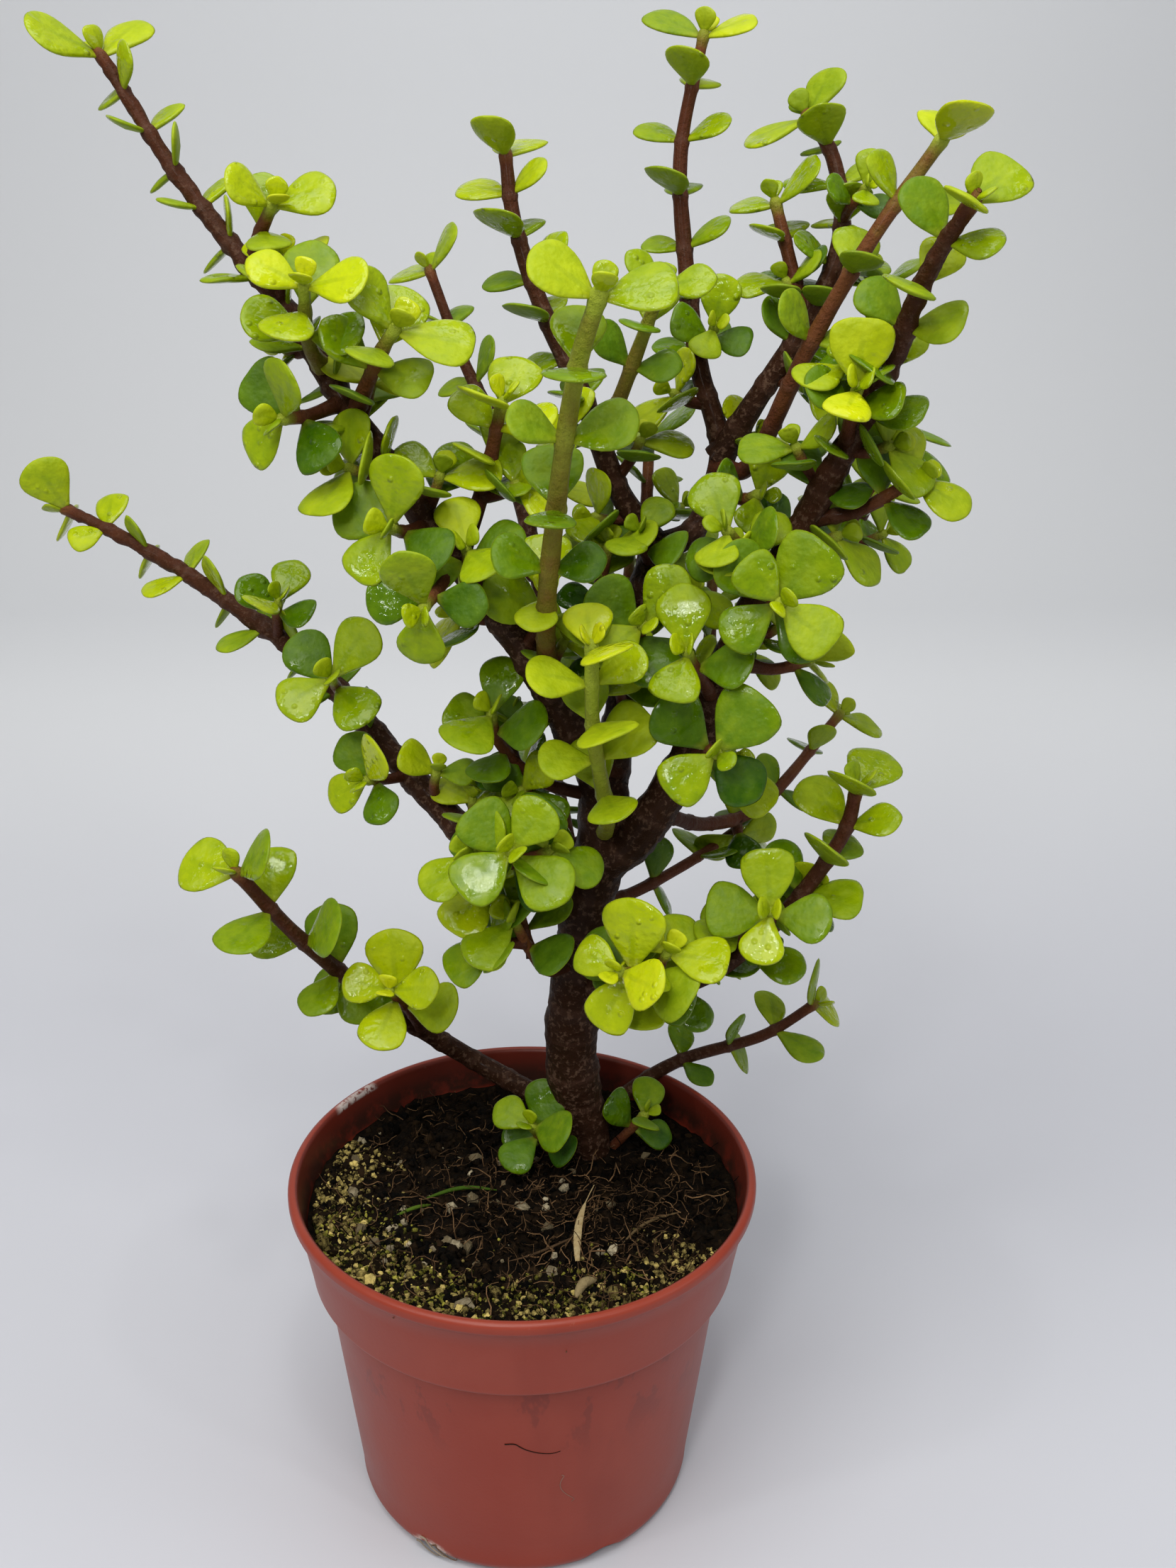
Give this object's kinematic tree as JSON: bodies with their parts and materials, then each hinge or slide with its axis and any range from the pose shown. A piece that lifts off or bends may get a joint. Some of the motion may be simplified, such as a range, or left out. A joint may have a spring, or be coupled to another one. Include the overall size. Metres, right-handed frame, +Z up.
{
  "type": "potted dwarf jade plant",
  "caption": "Small potted succulent shrub: branching woody stems with round fleshy leaves in opposite pairs, in a round plastic nursery pot filled with soil.",
  "frame": {"origin": "centre of the pot's flat underside, where it rests", "axes": "+Z up along the pot's axis, -Y towards the front of the plant, +X to the right seen from the front"},
  "size_m": [0.2492, 0.1594, 0.3677],
  "materials": {
    "pot_plastic": "satin",
    "soil": "rough",
    "bark": "rough",
    "green_stem": "satin",
    "leaf": "satin",
    "straw": "matte"
  },
  "bodies": {
    "root": {"pot": "pot_plastic", "trunk": "bark", "soil": "soil", "straw_blade": "straw", "left_high_limb": "leaf", "left_middle_limb": "leaf", "centre_limb": "leaf", "right_main_limb": "leaf", "left_low_branch": "leaf", "right_low_branch": "leaf", "right_rim_branch": "leaf", "top_left_stem": "leaf", "top_centre_stem": "leaf", "right_centre_stem": "leaf", "young_centre_shoot": "leaf", "red_front_shoot": "leaf", "right_back_limb": "leaf", "right_twig": "leaf", "yellow_twig": "leaf", "front_tall_shoot": "leaf", "front_bright_shoot": "leaf", "green_side_shoot": "leaf", "back_left_stem": "leaf", "left_upper_twig": "leaf", "left_knot_twig": "leaf", "left_cap_shoot": "leaf", "left_cup_shoot": "leaf", "left_rosette_twig": "leaf", "four_leaf_twig": "leaf", "left_front_twig": "leaf", "left_hanging_twig": "leaf", "left_spur": "leaf", "left_inner_twig": "leaf", "left_fan_shoot": "leaf", "left_lower_twig": "leaf", "left_bright_shoot": "leaf", "front_low_shoot": "leaf", "right_low_rosette": "leaf", "right_mid_twig": "leaf", "right_red_shoot": "leaf", "right_rosette_a": "leaf", "right_rosette_b": "leaf", "right_rosette_c": "leaf", "centre_inner_twig": "leaf", "front_mid_rosette": "leaf", "right_inner_shoot": "leaf", "small_top_twig": "leaf", "back_right_twig": "leaf", "centre_cup_shoot": "leaf", "basal_left_shoot": "leaf", "basal_right_shoot": "leaf", "back_low_shoot": "leaf", "back_middle_shoot": "leaf", "back_right_shoot": "leaf", "back_high_shoot": "leaf", "left_high_fan": "leaf", "left_upper_fan": "leaf", "left_mid_fan": "leaf", "bright_side_twig": "leaf", "right_centre_fan": "leaf"}
  },
  "joints": []
}
